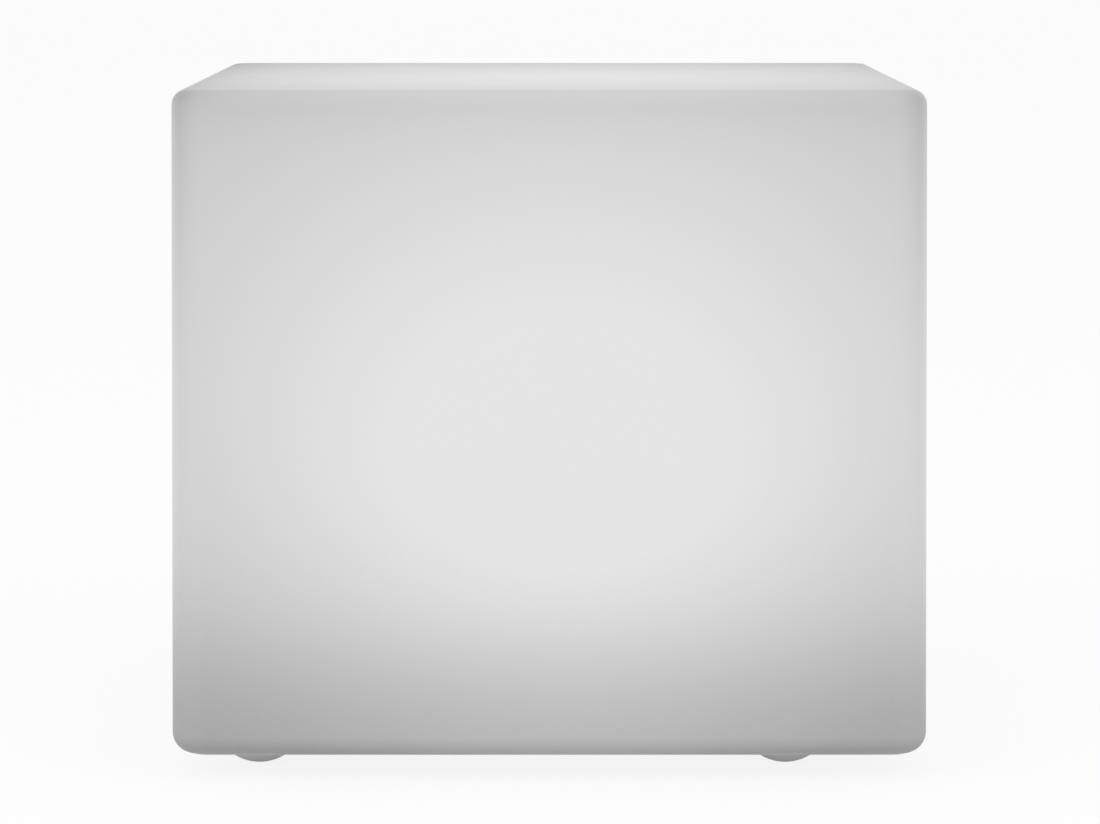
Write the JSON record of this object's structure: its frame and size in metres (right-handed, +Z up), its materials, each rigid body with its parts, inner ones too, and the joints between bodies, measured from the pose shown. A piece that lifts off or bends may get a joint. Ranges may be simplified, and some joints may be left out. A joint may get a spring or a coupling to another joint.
{
  "type": "led cube light",
  "caption": "Rounded translucent block light on domed feet, lit from inside by a sealed rechargeable LED module in its base, with a press button and a capped charging socket.",
  "frame": {"origin": "on the floor under the middle of the block, between the four feet", "axes": "+Z up, -Y is the front that the picture shows, -X is the left of that front"},
  "size_m": [0.4398, 0.4398, 0.4],
  "materials": {
    "shell_polyethylene": "translucent white, fine orange-peel skin",
    "foot_elastomer": "translucent white, soft, satin",
    "zinc_screw": "zinc plated",
    "insert_brass": "drawn hexagonal bar, turned",
    "housing_plastic": "white moulded, fine texture",
    "cover_plastic": "white moulded, fine texture",
    "silicone_seal": "grey silicone, matt",
    "board_white": "white solder mask on aluminium",
    "board_green": "green solder mask",
    "led_epoxy": "moulded white body with yellow phosphor",
    "receiver_epoxy": "dark infrared filter epoxy",
    "opal_plastic": "opal, satin",
    "chip_epoxy": "black moulding compound",
    "capacitor_can": "drawn aluminium can",
    "inductor_ferrite": "sintered ferrite",
    "connector_nylon": "natural nylon",
    "cell_steel": "nickel plated can",
    "sleeve_film": "blue shrink film",
    "pad_foam": "closed-cell foam",
    "bracket_steel": "zinc plated strip",
    "lead_insulation": "silicone insulation",
    "button_plastic": "grey moulded, satin",
    "switch_plastic": "black moulded",
    "pipe_acrylic": "clear acrylic",
    "socket_plastic": "black moulded",
    "nut_brass": "nickel plated brass",
    "pin_brass": "nickel plated brass",
    "cap_rubber": "grey soft rubber, matt"
  },
  "bodies": {
    "housing": {"shell": "shell_polyethylene", "feet": "foot_elastomer", "foot_screws": "zinc_screw", "foot_inserts": "insert_brass", "module_inserts": "insert_brass", "module_gasket": "silicone_seal", "module_housing": "housing_plastic", "module_screws": "zinc_screw", "screw_washers": "zinc_screw", "bottom_cover": "cover_plastic", "cover_seal": "silicone_seal", "cover_screws": "zinc_screw", "led_board": "board_white", "rgb_leds": "led_epoxy", "white_leds": "led_epoxy", "ir_receiver": "receiver_epoxy", "led_board_screws": "zinc_screw", "dome_seal": "silicone_seal", "diffuser_dome": "opal_plastic", "dome_screws": "zinc_screw", "battery_cells": "cell_steel", "battery_sleeve": "sleeve_film", "battery_pad": "pad_foam", "battery_bracket": "bracket_steel", "bracket_screws": "zinc_screw", "control_board": "board_green", "control_board_screws": "zinc_screw", "control_chip": "chip_epoxy", "charge_chip": "chip_epoxy", "led_drivers": "chip_epoxy", "board_capacitors": "capacitor_can", "boost_inductor": "inductor_ferrite", "battery_connector": "connector_nylon", "led_connector": "connector_nylon", "indicator_led": "led_epoxy", "light_pipe": "pipe_acrylic", "button_membrane": "silicone_seal", "membrane_ring": "button_plastic", "tact_switch": "switch_plastic", "dc_socket": "socket_plastic", "dc_socket_nut": "nut_brass", "socket_pin": "pin_brass", "cap_strap": "cap_rubber", "battery_leads": "lead_insulation", "led_leads": "lead_insulation", "socket_leads": "lead_insulation"},
    "power_button": {"button_cap": "button_plastic", "switch_plunger": "button_plastic", "switch_stem": "switch_plastic"},
    "charge_cap": {"socket_cap": "cap_rubber"}
  },
  "joints": [
    {"name": "button_press", "type": "slide", "parent": "housing", "child": "power_button", "axis": [0, 0, 1], "range_m": [0, 0.0008], "stiffness_N_per_m": 4000, "deforming": ["button_membrane"]},
    {"name": "charge_cap_flip", "type": "hinge", "parent": "housing", "child": "charge_cap", "pos_m": [0.0394, 0, 0.01525], "axis": [0, -1, 0], "range_deg": [0, 120]}
  ]
}
